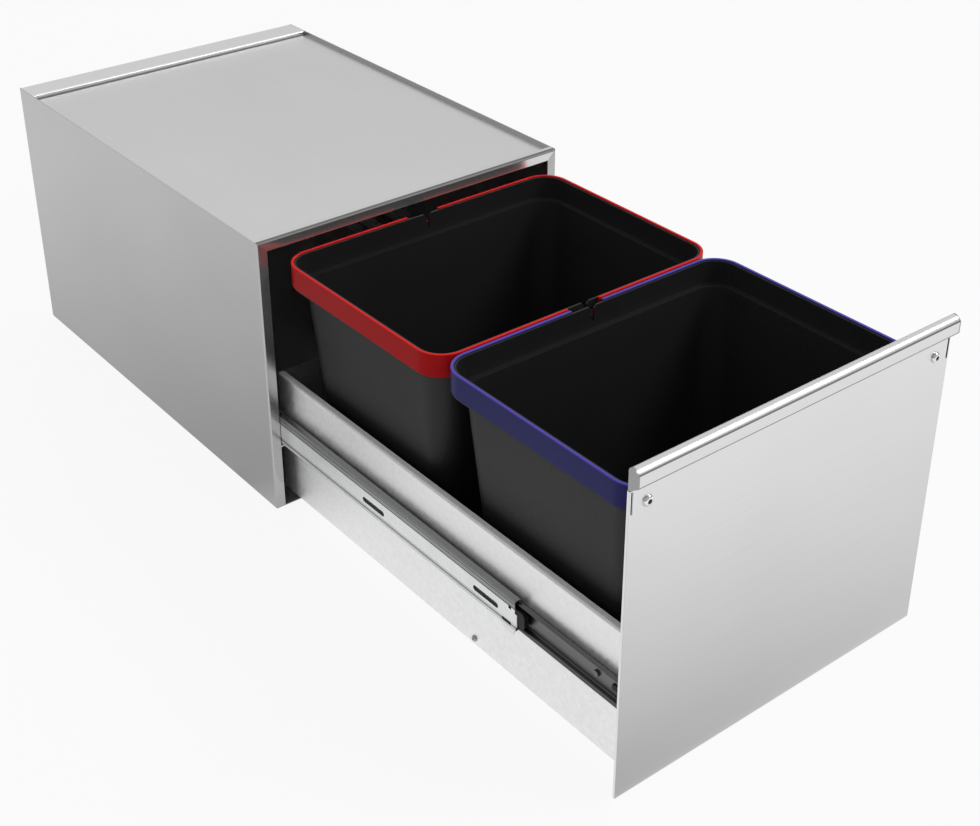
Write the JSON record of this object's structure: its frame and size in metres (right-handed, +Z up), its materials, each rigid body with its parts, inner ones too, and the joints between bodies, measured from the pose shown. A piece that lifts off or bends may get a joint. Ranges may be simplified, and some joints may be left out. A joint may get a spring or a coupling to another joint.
{
  "type": "pull-out waste cabinet",
  "caption": "Pull-out waste cabinet: folded steel housing, drawer on telescopic slides, flat front with a grip, and lift-out bins with coloured clamping rings.",
  "frame": {"origin": "centre of the housing's base", "axes": "+Y towards the housing's back, along the drawer's travel; +Z up"},
  "size_m": [0.4, 1.1327, 0.3507],
  "materials": {
    "brushed_stainless": "brushed stainless steel",
    "galvanised": "galvanised sheet with a fine spangle",
    "slide_steel": "zinc plated cold-rolled steel",
    "dark_steel": "dark phosphated steel",
    "bright_steel": "bright plated steel",
    "aluminium": "satin anodised",
    "black_plastic": "moulded, fine texture",
    "red_plastic": "semi-gloss moulded",
    "blue_plastic": "semi-gloss moulded",
    "rubber": "matt black"
  },
  "bodies": {
    "housing": {"housing_shell": "brushed_stainless", "housing_top": "brushed_stainless", "housing_back": "galvanised", "bracket_rivets": "bright_steel", "left_rail_bracket": "galvanised", "left_outer_rail": "slide_steel", "left_rail_bumper": "rubber", "right_rail_bracket": "galvanised", "right_outer_rail": "slide_steel", "right_rail_bumper": "rubber"},
    "drawer": {"drawer_floor": "galvanised", "drawer_front_wall": "galvanised", "drawer_rear_wall": "galvanised", "front_panel": "brushed_stainless", "panel_backing": "galvanised", "handle": "aluminium", "handle_screws": "bright_steel", "panel_screws": "bright_steel", "side_screws": "bright_steel", "slide_screws": "bright_steel", "left_drawer_side": "galvanised", "left_inner_rail": "dark_steel", "left_release_lever": "black_plastic", "left_handle_end": "aluminium", "right_drawer_side": "galvanised", "right_inner_rail": "dark_steel", "right_release_lever": "black_plastic", "right_handle_end": "aluminium"},
    "front_bin": {"front_bin": "black_plastic"},
    "rear_bin": {"rear_bin": "black_plastic"},
    "front_ring": {"front_ring": "blue_plastic"},
    "rear_ring": {"rear_ring": "red_plastic"},
    "left_middle": {"left_middle_rail": "slide_steel", "left_rail_stop": "black_plastic"},
    "left_outer_bearing": {"left_outer_cage": "dark_steel", "left_outer_balls": "bright_steel"},
    "left_inner_bearing": {"left_inner_cage": "dark_steel", "left_inner_balls": "bright_steel"},
    "right_middle": {"right_middle_rail": "slide_steel", "right_rail_stop": "black_plastic"},
    "right_outer_bearing": {"right_outer_cage": "dark_steel", "right_outer_balls": "bright_steel"},
    "right_inner_bearing": {"right_inner_cage": "dark_steel", "right_inner_balls": "bright_steel"}
  },
  "joints": [
    {"name": "drawer_slide", "type": "slide", "parent": "housing", "child": "drawer", "axis": [0, -1, 0], "range_m": [-0.55, 0]},
    {"name": "left_middle_slide", "type": "slide", "parent": "housing", "child": "left_middle", "axis": [0, -1, 0], "range_m": [-0.4125, 0]},
    {"name": "left_outer_bearing_slide", "type": "slide", "parent": "housing", "child": "left_outer_bearing", "axis": [0, -1, 0], "range_m": [-0.20625, 0]},
    {"name": "left_inner_bearing_slide", "type": "slide", "parent": "housing", "child": "left_inner_bearing", "axis": [0, -1, 0], "range_m": [-0.48125, 0]},
    {"name": "right_middle_slide", "type": "slide", "parent": "housing", "child": "right_middle", "axis": [0, -1, 0], "range_m": [-0.4125, 0]},
    {"name": "right_outer_bearing_slide", "type": "slide", "parent": "housing", "child": "right_outer_bearing", "axis": [0, -1, 0], "range_m": [-0.20625, 0]},
    {"name": "right_inner_bearing_slide", "type": "slide", "parent": "housing", "child": "right_inner_bearing", "axis": [0, -1, 0], "range_m": [-0.48125, 0]},
    {"name": "front_bin_lift", "type": "slide", "parent": "drawer", "child": "front_bin", "axis": [0, 0, 1], "range_m": [0, 0.3]},
    {"name": "front_ring_lift", "type": "slide", "parent": "front_bin", "child": "front_ring", "axis": [0, 0, 1], "range_m": [0, 0.04]},
    {"name": "rear_bin_lift", "type": "slide", "parent": "drawer", "child": "rear_bin", "axis": [0, 0, 1], "range_m": [0, 0.3]},
    {"name": "rear_ring_lift", "type": "slide", "parent": "rear_bin", "child": "rear_ring", "axis": [0, 0, 1], "range_m": [0, 0.04]}
  ],
  "couplings": [
    {"joint": "left_middle_slide", "follows": "drawer_slide", "ratio": 0.75},
    {"joint": "left_outer_bearing_slide", "follows": "drawer_slide", "ratio": 0.375},
    {"joint": "left_inner_bearing_slide", "follows": "drawer_slide", "ratio": 0.875},
    {"joint": "right_middle_slide", "follows": "drawer_slide", "ratio": 0.75},
    {"joint": "right_outer_bearing_slide", "follows": "drawer_slide", "ratio": 0.375},
    {"joint": "right_inner_bearing_slide", "follows": "drawer_slide", "ratio": 0.875}
  ]
}
